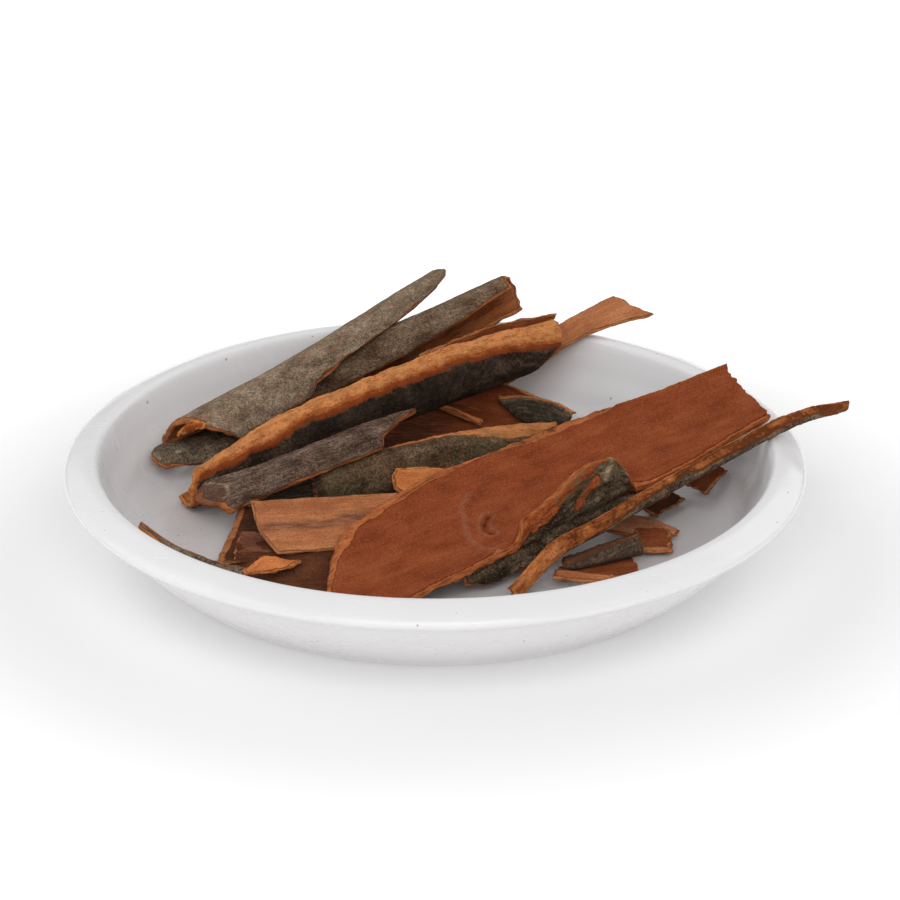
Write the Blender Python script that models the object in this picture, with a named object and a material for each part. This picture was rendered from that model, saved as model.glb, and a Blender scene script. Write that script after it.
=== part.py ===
"""Broken cinnamon bark in a shallow white dish.

Long curled quills and flat strips of bark lie in a round glazed dish, some on its floor and some over
its rim. Each piece is one sheet of bark: it follows a spine, has a width, a curl across the width and a
thickness, and is turned about its spine. Metres, +Z up. The origin is the centre of the dish's underside,
and the front of the dish is towards -Y. The sizes below are in millimetres.
"""

import math

import bmesh
import bpy
from mathutils import Vector

MM = 0.001

# The dish: a flat base, a sloping wall and a rolled lip
DISH_RADIUS = 90.6
DISH_HEIGHT = 25.0
DISH_BASE_RADIUS = 68.0
DISH_FLOOR_RADIUS = 64.0
DISH_FLOOR = 3.5
LIP_CREST_RADIUS = 83.6
LIP_DROP = 5.2
DISH_SIDES = 64

# Bark
ZONE_STEPS = 6
SPINE_STEP = 0.02
THIN, MEDIUM, THICK, VERY_THICK = 1.2, 1.6, 2.1, 2.4
BARK_ROUGHNESS = 0.85
GREY_BARK = (0.125, 0.105, 0.075)
INNER_BARK = (0.270, 0.085, 0.032)
TAN_BARK = (0.420, 0.175, 0.072)
GLAZE = (0.800, 0.795, 0.815)
GLAZE_ROUGHNESS = 0.18


def clear_scene():
    for obj in list(bpy.data.objects):
        bpy.data.objects.remove(obj)


def give_material(obj, colour, roughness):
    material = bpy.data.materials.new(obj.name)
    material.use_nodes = True
    surface = material.node_tree.nodes["Principled BSDF"]
    surface.inputs["Base Color"].default_value = (*colour, 1.0)
    surface.inputs["Roughness"].default_value = roughness
    surface.inputs["Metallic"].default_value = 0.0
    obj.data.materials.append(material)


def object_from(shape, name):
    mesh = bpy.data.meshes.new(name)
    shape.to_mesh(mesh)
    shape.free()
    obj = bpy.data.objects.new(name, mesh)
    bpy.context.collection.objects.link(obj)
    return obj


def dish():
    """The profile runs from the middle of the underside, up the outside, over the lip and back inside."""
    profile = [
        (0.0, 0.0),
        (DISH_BASE_RADIUS - 1.5, 0.0),
        (DISH_BASE_RADIUS + 1.0, 1.0),
        (77.0, 8.4),
        (86.0, DISH_HEIGHT - LIP_DROP - 1.4),
        (DISH_RADIUS - 1.6, DISH_HEIGHT - LIP_DROP),
        (DISH_RADIUS, DISH_HEIGHT - LIP_DROP + 1.5),
        (DISH_RADIUS - 1.2, DISH_HEIGHT - 2.2),
        (LIP_CREST_RADIUS + 2.4, DISH_HEIGHT - 0.7),
        (LIP_CREST_RADIUS, DISH_HEIGHT),
        (LIP_CREST_RADIUS - 1.6, DISH_HEIGHT - 1.0),
        (79.4, 16.0),
        (75.4, 8.0),
        (71.0, 4.6),
        (DISH_FLOOR_RADIUS, DISH_FLOOR),
        (0.0, DISH_FLOOR),
    ]
    shape = bmesh.new()
    points = [shape.verts.new((r * MM, 0.0, z * MM)) for r, z in profile]
    edges = [shape.edges.new(pair) for pair in zip(points, points[1:])]
    bmesh.ops.spin(
        shape,
        geom=points + edges,
        axis=(0, 0, 1),
        cent=(0, 0, 0),
        steps=DISH_SIDES,
        angle=2 * math.pi,
        use_merge=True,
    )
    bmesh.ops.remove_doubles(shape, verts=shape.verts, dist=0.01 * MM)
    bmesh.ops.recalc_face_normals(shape, faces=shape.faces)
    obj = object_from(shape, "dish")
    obj.data.shade_smooth()
    give_material(obj, GLAZE, GLAZE_ROUGHNESS)


def along(values, t):
    """A smooth curve through evenly spaced values, read at t from 0 to 1."""
    if len(values) == 1:
        return values[0]
    place = min(max(t, 0.0), 1.0) * (len(values) - 1)
    k = min(int(place), len(values) - 2)
    f = place - k
    b, c = values[k], values[k + 1]
    a = values[k - 1] if k else b * 2 - c
    d = values[k + 2] if k + 2 < len(values) else c * 2 - b
    slope = c - a
    curve = a * 2 - b * 5 + c * 4 - d
    twist = b * 3 - a - c * 3 + d
    return b + (slope * f + curve * f**2 + twist * f**3) * 0.5


def zones_at(sheet, t):
    """The width and the bend of each zone across the sheet, at t along it."""
    if callable(sheet):
        return sheet(t)
    stations = [station if isinstance(station, list) else [station] for station in sheet]
    return [
        [along([station[z][k] for station in stations], t) for k in (0, 1)]
        for z in range(len(stations[0]))
    ]


def section_point(zones, u):
    """A point of the sheet's middle surface across its width, u from 0 at the far edge to 1 at the near.

    Returns its place across and up from the centre of the second zone, or the only one, whose middle
    faces up.
    """
    middle = min(1, len(zones) - 1)
    angle = -sum(bend for _, bend in zones[:middle]) - zones[middle][1] / 2
    track = [Vector((0.0, 0.0))]
    for width, bend in zones:
        for _ in range(ZONE_STEPS):
            angle += bend / (2 * ZONE_STEPS)
            step = Vector((math.cos(math.radians(angle)), -math.sin(math.radians(angle))))
            track.append(track[-1] + step * (width / ZONE_STEPS))
            angle += bend / (2 * ZONE_STEPS)
    core = track[middle * ZONE_STEPS : (middle + 1) * ZONE_STEPS + 1]
    centre = sum(core, Vector((0.0, 0.0))) / len(core)
    place = u * (len(track) - 1)
    k = min(int(place), len(track) - 2)
    return track[k].lerp(track[k + 1], place - k) - centre


def bark(name, spine, sheet, roll, thickness, colour, rows=8, columns=6, start_cut=(0.0,), end_cut=(0.0,)):
    """One sheet of bark along a spine.

    sheet lists stations along the length, each one zone or a list of zones (width, bend in degrees) from
    the far edge to the near one, or it is a function that gives the zones at t. A bend above 0 turns the
    edges away from the upper face. roll is how far the upper face tilts from straight up towards the
    front, in degrees. The cuts shorten the ends, from the far edge to the near one.
    """
    points = [Vector(point) for point in spine]
    length = sum((q - p).length for p, q in zip(points, points[1:]))
    shape = bmesh.new()
    bmesh.ops.create_grid(shape, x_segments=columns, y_segments=rows, size=1.0)
    for vert in shape.verts:
        u = (vert.co.x + 1) / 2
        v = (vert.co.y + 1) / 2
        first = along(start_cut, u) / length
        last = 1 - along(end_cut, u) / length
        t = first + (last - first) * v
        ahead = (along(points, t + SPINE_STEP) - along(points, t - SPINE_STEP)).normalized()
        front = ahead.cross(Vector((0, 0, 1))).normalized()
        top = front.cross(ahead)
        turn = math.radians(along(roll, t))
        across, up = section_point(zones_at(sheet, t), u)
        face = top * math.cos(turn) + front * math.sin(turn)
        side = front * math.cos(turn) - top * math.sin(turn)
        vert.co = (along(points, t) + side * across + face * up) * MM
    obj = object_from(shape, name)
    wall = obj.modifiers.new("Bark wall", "SOLIDIFY")
    wall.thickness = thickness * MM
    wall.offset = 0.0
    obj.data.shade_smooth()
    give_material(obj, colour, BARK_ROUGHNESS)


def rise(t, start, end):
    """From 0 at start to 1 at end, smoothly."""
    f = min(max((t - start) / (end - start), 0.0), 1.0)
    return f * f * (3 - 2 * f)


def slab_sheet(t):
    """The slab's near edge is folded up in a flap beside an old knot."""
    stands = rise(t, 0.34, 0.39) * (1 - rise(t, 0.58, 0.63))
    flap_width = 3 + 6.5 * rise(t, 0.39, 0.56)
    far_width = 13.5 - 8 * t - 2.5 * rise(t, 0.55, 1.0)
    near_width = 14 - 6 * t + 2.5 * rise(t, 0.6, 0.66) * (1 - rise(t, 0.7, 0.95))
    far, middle, near = (far_width, -8), (12, -10), (near_width, -6)
    fold = (2 + 2.5 * stands, -2 - 78 * stands)
    flap = (0.8 + flap_width * stands, -25 * stands)
    return [far, middle, near, fold, flap]


def tapered_sheet(t):
    """The long quill's near edge steps in halfway, and its far end is narrow."""
    body_width = 17 - 7.5 * t
    near_width = 6 - 2 * t - 3.2 * rise(t, 0.42, 0.56)
    return [(body_width / 2, 60), (body_width / 2, 60 - 20 * t), (near_width, 7 * near_width)]


clear_scene()
dish()

# Back left: a long grey quill over the back rim, with a short one under its end
bark(
    "long_grey_quill",
    spine=[(-62.5, 21.3, 20.6), (-31, 55.4, 26.5), (1.4, 88.7, 36.0)],
    sheet=tapered_sheet,
    roll=(8, 11),
    thickness=MEDIUM,
    colour=GREY_BARK,
    rows=14,
    columns=9,
    start_cut=(0.0, 2.0, 11.0),
    end_cut=(0.3, 0.0, 4.0, 11.0),
)
bark(
    "short_grey_scoop",
    spine=[(-71.5, 22.5, 11), (-47.5, 37, 12.6)],
    sheet=[(9.5, 90), (12, 100)],
    roll=(25, 25),
    thickness=MEDIUM,
    colour=GREY_BARK,
    rows=4,
    start_cut=(4.0, 0.5, 0.0, 2.0),
)

# Back: a quill open to the front and a brown strip behind the scraped quill
bark(
    "rim_grey_quill",
    spine=[(-38.5, 62, 17.1), (19.4, 85, 37)],
    sheet=[
        [(12.5, 110), (9, 80), (9, 85)],
        [(11.5, 110), (8.4, 80), (8, 75)],
        [(9.6, 110), (7, 80), (3.5, 45)],
    ],
    roll=(-40, -40),
    thickness=MEDIUM,
    colour=GREY_BARK,
    rows=8,
    columns=9,
    end_cut=(3.0, 1.0, 1.5, 3.0),
)
bark(
    "brown_rim_strip",
    spine=[(-4.2, 54.6, 22.2), (14, 66, 25.4), (32, 74.3, 28.6)],
    sheet=[(12, -20), (11.5, -20), (5, -20)],
    roll=(100, 100),
    thickness=THIN,
    colour=INNER_BARK,
    rows=8,
    columns=4,
    end_cut=(0.0, 2.0),
)

# Middle: the scraped quill, and the two that lie in front of it
bark(
    "scraped_quill",
    spine=[(-62, 7.5, 8.2), (-15, 38, 19.8), (31.3, 65, 26.4)],
    sheet=[(15, 190), (27, 235), (29, 250), (28, 245), (22, 220)],
    roll=(125, 115),
    thickness=THICK,
    colour=GREY_BARK,
    rows=12,
    columns=10,
    end_cut=(0.0, 0.0, 6.0, 10.0, 10.0),
)
bark(
    "leaning_grey_strip",
    spine=[(-54, -3, 12.3), (-29, 9.1, 18.0), (-3, 30.4, 20)],
    sheet=[(12, 45), (10, 50), (9.5, 50), (9.5, 45), (6, 30)],
    roll=(20, 20),
    thickness=THICK,
    colour=GREY_BARK,
    rows=10,
    end_cut=(0.0, 6.0, 13.0, 15.5),
)
bark(
    "green_grey_quill",
    spine=[(-31, 6, 9.5), (-0.5, 22.3, 9.8), (31, 38, 9.8)],
    sheet=[(13, 200), (20, 220), (20, 200), (12, 120)],
    roll=(105, 105),
    thickness=THICK,
    colour=GREY_BARK,
    rows=8,
    columns=8,
)
bark(
    "tan_wedge_chip",
    spine=[(-10.5, 10, 10.6), (8, 16.6, 9.7)],
    sheet=[(7, -10), (6, -10), (2, 0)],
    roll=(50, 50),
    thickness=THIN,
    colour=TAN_BARK,
    rows=4,
    columns=3,
)

# Front: the broad slab with its near edge curled up, and the thin quill across it
bark(
    "broad_slab",
    spine=[(-34.3, -44.3, 6.3), (23.3, -5, 16.9), (80.9, 34, 28.6)],
    sheet=slab_sheet,
    roll=(9.5, 7.6),
    thickness=VERY_THICK,
    colour=INNER_BARK,
    rows=24,
    columns=15,
    start_cut=(36, 22, 14, 8, 4, 1.5, 0.5, 0.2, 0.0),
    end_cut=(1.2, 4, 7, 9, 9),
)
bark(
    "thin_quill",
    spine=[
        (20, -40, 6.2),
        (28.7, -32.5, 12.3),
        (39, -27, 15.9),
        (51.5, -15.8, 18.6),
        (64.5, -4.5, 20.9),
        (87, 7.5, 28.1),
        (102.6, 15.3, 29.3),
    ],
    sheet=[(6, 190), (6.5, 200), (6.5, 200), (6.2, 200), (6, 200), (4.8, 200), (3.2, 150)],
    roll=(110, 110),
    thickness=THIN,
    colour=TAN_BARK,
    rows=16,
    columns=5,
)

# Front left
bark(
    "tan_strip",
    spine=[(-43.3, -19.3, 12.3), (-14, -12.5, 11.2)],
    sheet=[(13.2, -8), (13.2, -8)],
    roll=(37, 37),
    thickness=MEDIUM,
    colour=TAN_BARK,
    rows=5,
    columns=4,
    start_cut=(0.0, 1.0, 4.6),
)
bark(
    "floor_trough",
    spine=[(-55.5, -12.8, 6.4), (-28, -6, 6.2)],
    sheet=[(19, -50), (16, -35)],
    roll=(17, 14),
    thickness=THIN,
    colour=INNER_BARK,
    rows=5,
    start_cut=(9.5, 5.5, 2.0, 0.0),
)
bark(
    "ragged_dark_flake",
    spine=[(-47.5, -18.5, 7.5), (-33, -17, 6.9)],
    sheet=[(10, -10), (9, -10)],
    roll=(10, 10),
    thickness=THIN,
    colour=INNER_BARK,
    rows=3,
    columns=4,
)
bark(
    "orange_sliver",
    spine=[(-44.5, -38.5, 9.6), (-33.8, -25.8, 8.3)],
    sheet=[(1.2, -5), (4.5, -5), (5, -5)],
    roll=(30, 30),
    thickness=THIN,
    colour=TAN_BARK,
    rows=4,
    columns=2,
)
bark(
    "dark_floor_flat",
    spine=[(-43.5, -32, 5.1), (-18, -33, 5.1)],
    sheet=[(15, -8), (18, -8)],
    roll=(6, 6),
    thickness=THIN,
    colour=INNER_BARK,
    rows=4,
    columns=4,
)
bark(
    "curved_front_strip",
    spine=[(-69.6, -22.8, 14.2), (-62.5, -26.4, 10.0), (-53.5, -30.8, 7.4), (-45, -34.8, 6.5)],
    sheet=[(1.2, 60), (2, 60), (2.8, 60), (4.2, 60)],
    roll=(50, 50),
    thickness=THIN,
    colour=GREY_BARK,
    rows=8,
    columns=3,
)

# Back middle, in the shade of the scraped quill
bark(
    "brown_back_sheet",
    spine=[(-12, 53.6, 7.4), (30, 52, 6.9)],
    sheet=[(26, -6), (22, -6)],
    roll=(9, 9),
    thickness=THIN,
    colour=INNER_BARK,
    rows=6,
    columns=4,
)
bark(
    "thin_splint",
    spine=[(-1, 61, 10.9), (12, 50, 9.6)],
    sheet=[(1.6, 0), (1.6, 0)],
    roll=(40, 40),
    thickness=THIN,
    colour=TAN_BARK,
    rows=3,
    columns=1,
)
bark(
    "small_curl",
    spine=[(17, 58, 13.0), (35.5, 47, 10.8)],
    sheet=[(2, 80), (7.5, 120), (9, 120), (7, 110)],
    roll=(60, 60),
    thickness=THIN,
    colour=GREY_BARK,
    rows=5,
)
bark(
    "tan_rim_strip",
    spine=[(8, 65.5, 11.2), (23, 69.7, 18.2), (38.5, 74.2, 27.5), (55.5, 81.3, 31.2)],
    sheet=[(6.5, -10), (7.5, -10), (8.5, -10), (11.5, -10)],
    roll=(15, 15),
    thickness=THIN,
    colour=TAN_BARK,
    rows=10,
    columns=3,
    end_cut=(7.0, 3.0, 0.0),
)

# Front right: broken bits on the floor of the dish
bark(
    "wall_flake",
    spine=[(65, 16.4, 6.2), (71, 21.2, 10.4)],
    sheet=[(8.5, -5), (8.5, -5)],
    roll=(2, 2),
    thickness=THIN,
    colour=TAN_BARK,
    rows=3,
    columns=3,
)
bark(
    "dark_chip",
    spine=[(52.8, 5.2, 5), (60.6, 14.6, 5.4)],
    sheet=[(6, -20), (6, -20)],
    roll=(10, 10),
    thickness=THIN,
    colour=INNER_BARK,
    rows=3,
    columns=3,
)
bark(
    "pointed_tan_chip",
    spine=[(43, -3, 5.8), (59.5, -8.7, 5.5)],
    sheet=[(8, -10), (8, -10), (2, 0)],
    roll=(12, 12),
    thickness=THIN,
    colour=TAN_BARK,
    rows=5,
    columns=3,
)
bark(
    "layered_block",
    spine=[(49, -13.5, 6), (57, -13.5, 6)],
    sheet=[(8, -5), (8, -5)],
    roll=(15, 15),
    thickness=THICK,
    colour=TAN_BARK,
    rows=3,
    columns=3,
)
bark(
    "small_grey_roll",
    spine=[(30.5, -30, 7.4), (49.5, -22, 9.2)],
    sheet=[(2.5, 150), (4.5, 150), (6.5, 160)],
    roll=(70, 70),
    thickness=MEDIUM,
    colour=GREY_BARK,
    rows=6,
)
bark(
    "brown_floor_chip",
    spine=[(30, -29, 4.8), (48.5, -25, 4.8)],
    sheet=[(5, -5), (8, -5), (8, -5)],
    roll=(6, 6),
    thickness=THIN,
    colour=INNER_BARK,
    rows=4,
    columns=3,
)
bark(
    "tan_splint",
    spine=[(28.5, -34, 6.8), (42, -37, 6.8)],
    sheet=[(2.6, 0), (2.6, 0)],
    roll=(20, 20),
    thickness=MEDIUM,
    colour=TAN_BARK,
    rows=3,
    columns=1,
)
bark(
    "dark_splint",
    spine=[(17.5, -24.4, 4.6), (27, -21.4, 5)],
    sheet=[(3, 0), (3, 0)],
    roll=(5, 5),
    thickness=THIN,
    colour=INNER_BARK,
    rows=3,
    columns=1,
)
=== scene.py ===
import math
from functools import partial
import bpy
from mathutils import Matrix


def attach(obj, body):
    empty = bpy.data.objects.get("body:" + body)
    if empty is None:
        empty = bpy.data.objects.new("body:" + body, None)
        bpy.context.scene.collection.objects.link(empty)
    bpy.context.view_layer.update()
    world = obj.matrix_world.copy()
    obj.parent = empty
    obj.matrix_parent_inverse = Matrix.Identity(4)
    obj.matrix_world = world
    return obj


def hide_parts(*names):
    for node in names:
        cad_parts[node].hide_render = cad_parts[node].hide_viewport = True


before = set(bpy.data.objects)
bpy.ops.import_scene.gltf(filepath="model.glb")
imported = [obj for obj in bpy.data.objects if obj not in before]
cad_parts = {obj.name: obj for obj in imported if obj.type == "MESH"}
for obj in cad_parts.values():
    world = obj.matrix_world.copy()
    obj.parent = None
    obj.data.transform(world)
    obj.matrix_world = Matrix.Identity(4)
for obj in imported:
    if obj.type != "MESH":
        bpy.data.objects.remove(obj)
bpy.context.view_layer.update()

from types import SimpleNamespace

import bmesh
import bpy
import numpy as np

# The studio: a white table under large soft lights, seen from the front and a little above.
# The camera stands 750 mm from the middle of the dish and looks 23.8 degrees down along +Y.
MM = 0.001
CAMERA_DISTANCE = 0.75
CAMERA_PITCH = math.radians(23.8)
CAMERA_AIM = (0.00367, 0.0, 0.024)
CAMERA_LENS = 122.6

camera_data = bpy.data.cameras.new("camera")
camera_data.lens = CAMERA_LENS
camera_data.clip_start = 0.01
camera = bpy.data.objects.new("camera", camera_data)
camera.location = (
    CAMERA_AIM[0],
    CAMERA_AIM[1] - CAMERA_DISTANCE * math.cos(CAMERA_PITCH),
    CAMERA_AIM[2] + CAMERA_DISTANCE * math.sin(CAMERA_PITCH),
)
camera.rotation_euler = (math.radians(90) - CAMERA_PITCH, 0.0, 0.0)
bpy.context.collection.objects.link(camera)
bpy.context.scene.camera = camera
bpy.context.scene.view_settings.view_transform = "Standard"


def shader_node(tree, kind, inputs=None, **settings):
    """Adds a shader node. An input given as another node's output is linked, and any other value is set."""
    made = tree.nodes.new("ShaderNode" + kind)
    for name, value in settings.items():
        setattr(made, name, value)
    for key, value in (inputs or {}).items():
        if isinstance(value, bpy.types.NodeSocket):
            tree.links.new(value, made.inputs[key])
        else:
            made.inputs[key].default_value = value
    return made


def surface_of(material):
    material.use_nodes = True
    return material.node_tree, material.node_tree.nodes["Principled BSDF"]


def spread(tree, value, low, high, lowest=0.0, highest=1.0):
    """Lowest where the value is below low, highest where it is above high, and smooth between."""
    made = shader_node(
        tree,
        "MapRange",
        {"Value": value, "From Min": low, "From Max": high, "To Min": lowest, "To Max": highest},
        interpolation_type="SMOOTHSTEP",
    )
    return made.outputs["Result"]


def object_from(shape, name):
    """Makes the finished shape an object, smooth, with its place in its mesh."""
    mesh = bpy.data.meshes.new(name)
    shape.to_mesh(mesh)
    shape.free()
    mesh.shade_smooth()
    made = bpy.data.objects.new(name, mesh)
    bpy.context.collection.objects.link(made)
    return made


TABLE_SIZE = 6.0
TABLE_GAP = 0.0003
GLOW_RADII = (0.095, 0.2)
GLOW_STRENGTHS = (0.23, 0.62)
shape = bmesh.new()
bmesh.ops.create_grid(shape, x_segments=2, y_segments=2, size=TABLE_SIZE)
bmesh.ops.translate(shape, verts=shape.verts, vec=(0.0, 0.0, -TABLE_GAP))
table = object_from(shape, "table")
table_material = bpy.data.materials.new("white table, lit from below")
tree, surface = surface_of(table_material)
surface.inputs["Base Color"].default_value = (0.7, 0.7, 0.7, 1.0)
surface.inputs["Roughness"].default_value = 0.6
surface.inputs["Emission Color"].default_value = (1.0, 0.992, 0.99, 1.0)
place = shader_node(tree, "TexCoord").outputs["Object"]
away = shader_node(tree, "VectorMath", {0: place}, operation="LENGTH")
glow = spread(tree, away.outputs["Value"], *GLOW_RADII, *GLOW_STRENGTHS)
tree.links.new(glow, surface.inputs["Emission Strength"])
table.data.materials.append(table_material)

world = bpy.data.worlds.new("studio")
bpy.context.scene.world = world
world.use_nodes = True
world.node_tree.nodes["Background"].inputs["Color"].default_value = (1.0, 1.0, 1.0, 1.0)
world.node_tree.nodes["Background"].inputs["Strength"].default_value = 0.42
for name, location, size, power in (
    ("left softbox", (-0.9, 0.1, 0.8), 0.9, 2.9),
    ("right softbox", (0.9, 0.1, 0.8), 0.9, 1.4),
    ("front softbox", (0.0, -0.9, 0.8), 0.9, 6.6),
    ("back left softbox", (-0.8, 0.8, 0.6), 0.8, 1.2),
    ("back right softbox", (0.8, 0.8, 0.6), 0.8, 2.4),
):
    lamp_data = bpy.data.lights.new(name, "AREA")
    lamp_data.shape = "RECTANGLE"
    lamp_data.size = lamp_data.size_y = size
    lamp_data.energy = power
    lamp = bpy.data.objects.new(name, lamp_data)
    lamp.location = location
    lamp.rotation_euler = (-lamp.location).to_track_quat("-Z", "Y").to_euler()
    bpy.context.collection.objects.link(lamp)


# The dish: one turned piece of white glazed ceramic with a flat base, a sloping wall and a rolled
# lip. It is thrown on a wheel, so it is a spun profile, and the glaze softens every corner of it.
def along(values, t):
    """A smooth curve through evenly spaced values, read at each t from 0 to 1."""
    values = np.asarray(values, float)
    if len(values) == 1:
        return np.repeat(values, len(t), axis=0)
    place = np.clip(t, 0.0, 1.0) * (len(values) - 1)
    k = np.minimum(place.astype(int), len(values) - 2)
    f = (place - k).reshape((-1,) + (1,) * (values.ndim - 1))
    before, after = 2 * values[:1] - values[1:2], 2 * values[-1:] - values[-2:-1]
    padded = np.concatenate([before, values, after])
    a, b, c, d = (padded[k + i] for i in range(4))
    return b + ((c - a) * f + (2 * a - 5 * b + 4 * c - d) * f**2 + (3 * b - a - 3 * c + d) * f**3) / 2


DISH_TURN_STEPS = 192
DISH_CORNER_STEPS = 6
DISH_FOOT = [(0.0, 0.0), (30.0, 0.0), (64.0, 0.0)]
DISH_FLOOR = [(45.0, 3.5), (20.0, 3.5), (0.0, 3.5)]
DISH_WALL = [
    (66.5, 0.0), (69.0, 1.0), (73.0, 4.6), (77.0, 8.4), (81.6, 13.2), (86.3, 18.0), (88.9, 19.8),
    (90.5, 21.5), (89.5, 23.0), (86.4, 24.4), (83.6, 25.0), (82.0, 24.0), (80.6, 20.0), (79.4, 16.0),
    (77.5, 12.0), (75.4, 8.0), (71.0, 4.6), (64.0, 3.5),
]
wall_steps = (len(DISH_WALL) - 1) * DISH_CORNER_STEPS + 1
dish_wall = along(DISH_WALL, np.linspace(0.0, 1.0, wall_steps))
shape = bmesh.new()
points = [shape.verts.new((r * MM, 0.0, z * MM)) for r, z in (*DISH_FOOT, *dish_wall, *DISH_FLOOR)]
edges = [shape.edges.new(pair) for pair in zip(points, points[1:])]
bmesh.ops.spin(
    shape,
    geom=points + edges,
    axis=(0, 0, 1),
    cent=(0, 0, 0),
    steps=DISH_TURN_STEPS,
    angle=2 * math.pi,
    use_merge=True,
)
bmesh.ops.remove_doubles(shape, verts=shape.verts, dist=0.01 * MM)
bmesh.ops.recalc_face_normals(shape, faces=shape.faces)
dish = object_from(shape, "glazed_dish")


def maths(tree, operation, a, b):
    return shader_node(tree, "Math", {0: a, 1: b}, operation=operation).outputs[0]


def blend(tree, factor, a, b):
    """Mixes two colours, each an output or a plain colour."""
    colours = [value if isinstance(value, bpy.types.NodeSocket) else (*value, 1.0) for value in (a, b)]
    made = shader_node(tree, "Mix", {0: factor, 6: colours[0], 7: colours[1]}, data_type="RGBA")
    return made.outputs[2]


def speckle(tree, place, stretch, detail=2.0, roughness=0.5):
    """A noise whose features are as large as stretch, in the units of the place that it is given."""
    scaled = shader_node(tree, "Mapping", {"Vector": place, "Scale": tuple(1 / size for size in stretch)})
    made = shader_node(
        tree,
        "TexNoise",
        {"Vector": scaled.outputs["Vector"], "Scale": 1.0, "Detail": detail, "Roughness": roughness},
    )
    return made.outputs["Fac"]


glaze = bpy.data.materials.new("white glaze")
tree, surface = surface_of(glaze)
place = shader_node(tree, "TexCoord").outputs["Object"]
tint = blend(
    tree,
    speckle(tree, place, (0.02, 0.02, 0.02), 3.0),
    (0.79, 0.778, 0.788),
    (0.85, 0.842, 0.85),
)

# The inside is painted darker and warmer than the rest, as painted shade with a warm tint of light bounced
# from the bark, and has a few dark crumbs
radius = shader_node(tree, "VectorMath", {0: place, 1: (1.0, 1.0, 0.0)}, operation="MULTIPLY").outputs[0]
radius = shader_node(tree, "VectorMath", {0: radius}, operation="LENGTH").outputs["Value"]
height = shader_node(tree, "SeparateXYZ", {0: place}).outputs[2]
inside_shade = maths(tree, "MULTIPLY", spread(tree, radius, 0.081, 0.062), spread(tree, height, 0.001, 0.003))
tint = blend(tree, maths(tree, "MULTIPLY", inside_shade, 0.75), tint, (0.57, 0.53, 0.52))
crumbs = spread(tree, speckle(tree, place, (0.0013, 0.0013, 0.0013), 0.0), 0.835, 0.86, 0.0, 0.6)
tint = blend(tree, crumbs, tint, (0.25, 0.18, 0.15))
tree.links.new(tint, surface.inputs["Base Color"])
gloss = spread(tree, speckle(tree, place, (0.03, 0.012, 0.02), 4.0, 0.6), 0.4, 0.65, 0.16, 0.3)
tree.links.new(gloss, surface.inputs["Roughness"])
surface.inputs["IOR"].default_value = 1.5
dish.data.materials.append(glaze)
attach(dish, "root")
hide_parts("dish")


# Dark flats on the floor of the dish: thin broken sheets of bark that lie with their inner face up.
# Every piece of bark is one sheet that curled as it dried: it follows a spine and has a width and a
# curl across it. Its torn rim is a stack of thin orange plies, between the grey skin and the inner face.
THIN, MEDIUM, THICK, VERY_THICK = 1.2, 1.6, 2.1, 2.4
FEWEST_COLUMNS, FEWEST_ROWS = 6, 8
ZONE_STEPS = 6
RIM_CUTS = 4
RIM_BULGE = 0.12
RIM_THINNING = 0.42
LONG_TEETH, SHORT_TEETH = 2.6, 1.3
SPINE_STEP = 0.02
HILLS_REPEAT = 128


def hills(x, y, seed):
    """Smooth random heights from -1 to 1, with about one hill to each unit of x and y."""
    heights = np.random.default_rng(seed).uniform(-1.0, 1.0, (HILLS_REPEAT, HILLS_REPEAT))
    i, j = np.floor(x).astype(int), np.floor(y).astype(int)
    f, g = x - i, y - j
    f, g = f * f * (3 - 2 * f), g * g * (3 - 2 * g)
    i, j, next_i, next_j = (k % HILLS_REPEAT for k in (i, j, i + 1, j + 1))
    near = heights[i, j] * (1 - f) + heights[next_i, j] * f
    far = heights[i, next_j] * (1 - f) + heights[next_i, next_j] * f
    return near * (1 - g) + far * g


def crags(x, y, seed):
    """Hills with smaller hills on them, and still smaller ones on those."""
    total = np.zeros(np.broadcast(x, y).shape)
    for layer in range(3):
        finer = 2.1**layer
        total = total + hills(x * finer, y * finer, seed + layer) * 0.5**layer
    return total / 1.6


def rise(t, start, end):
    """From 0 at start to 1 at end, smoothly."""
    f = np.clip((t - start) / (end - start), 0.0, 1.0)
    return f * f * (3 - 2 * f)


def fall(t, start, end):
    """From 1 at start to 0 at end, smoothly."""
    return 1 - rise(t, start, end)


def lumpy(at, wide, long, seed):
    """Crags on a sheet, as wide across it and as long along it as given in millimetres."""
    return crags(at.far / wide, at.forward / long, seed)


def zones_at(sheet, t):
    """The width and the bend of each zone across the sheet, at each t along it."""
    if callable(sheet):
        return np.stack([np.stack(np.broadcast_arrays(w, b, t)[:2], -1) for w, b in sheet(t)], 1)
    return along([station if isinstance(station, list) else [station] for station in sheet], t)


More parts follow.
